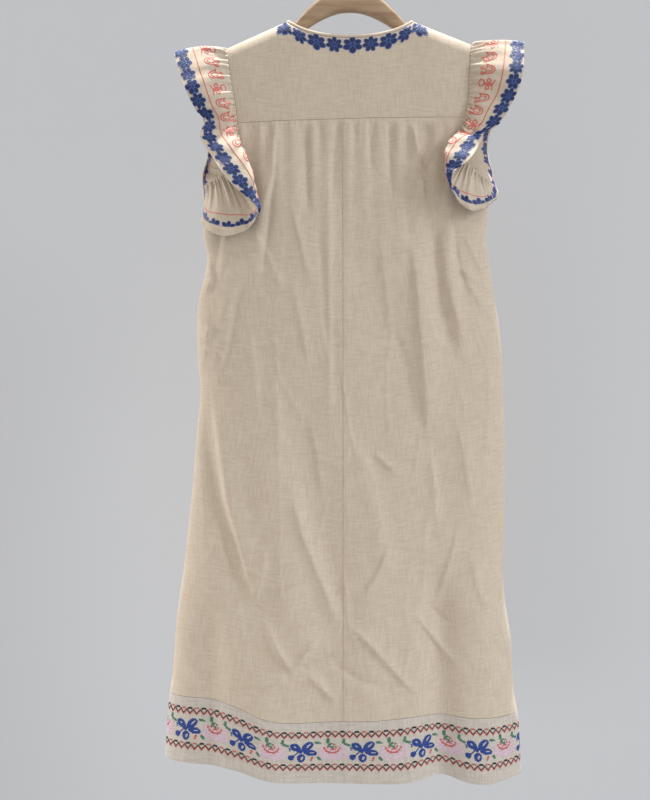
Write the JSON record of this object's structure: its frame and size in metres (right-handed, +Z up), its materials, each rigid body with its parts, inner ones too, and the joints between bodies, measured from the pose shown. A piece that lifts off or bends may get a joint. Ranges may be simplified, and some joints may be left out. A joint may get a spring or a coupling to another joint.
{
  "type": "peasant dress on a wooden hanger",
  "caption": "Sleeveless gathered cream dress with ruffled armholes, embroidered neck and flowered hem band, on a wooden hanger.",
  "frame": {"origin": "inside top of the hanger's wire hook, where a rail would carry it", "axes": "+Z up, -Y out of the dress's back, which is the side on show, +X to the right of someone who looks at the back"},
  "size_m": [0.5385, 0.1336, 1.2508],
  "materials": {
    "cotton_cloth": "matte",
    "hem_cloth": "matte",
    "flower_cord": "satin",
    "beech_wood": "satin",
    "hook_wire": "polished"
  },
  "bodies": {
    "root": {"back_yoke": "cotton_cloth", "front_yoke": "cotton_cloth", "back_left_panel": "cotton_cloth", "back_right_panel": "cotton_cloth", "front_panel": "cotton_cloth", "hem_band_back": "hem_cloth", "hem_band_front": "hem_cloth", "ruffle_left": "cotton_cloth", "ruffle_right": "cotton_cloth", "ruffle_trim_left": "flower_cord", "ruffle_trim_right": "flower_cord", "neck_binding": "cotton_cloth", "neck_trim_back": "flower_cord", "neck_trim_front": "flower_cord", "hanger_wood": "beech_wood", "hanger_hook": "hook_wire"}
  },
  "joints": []
}
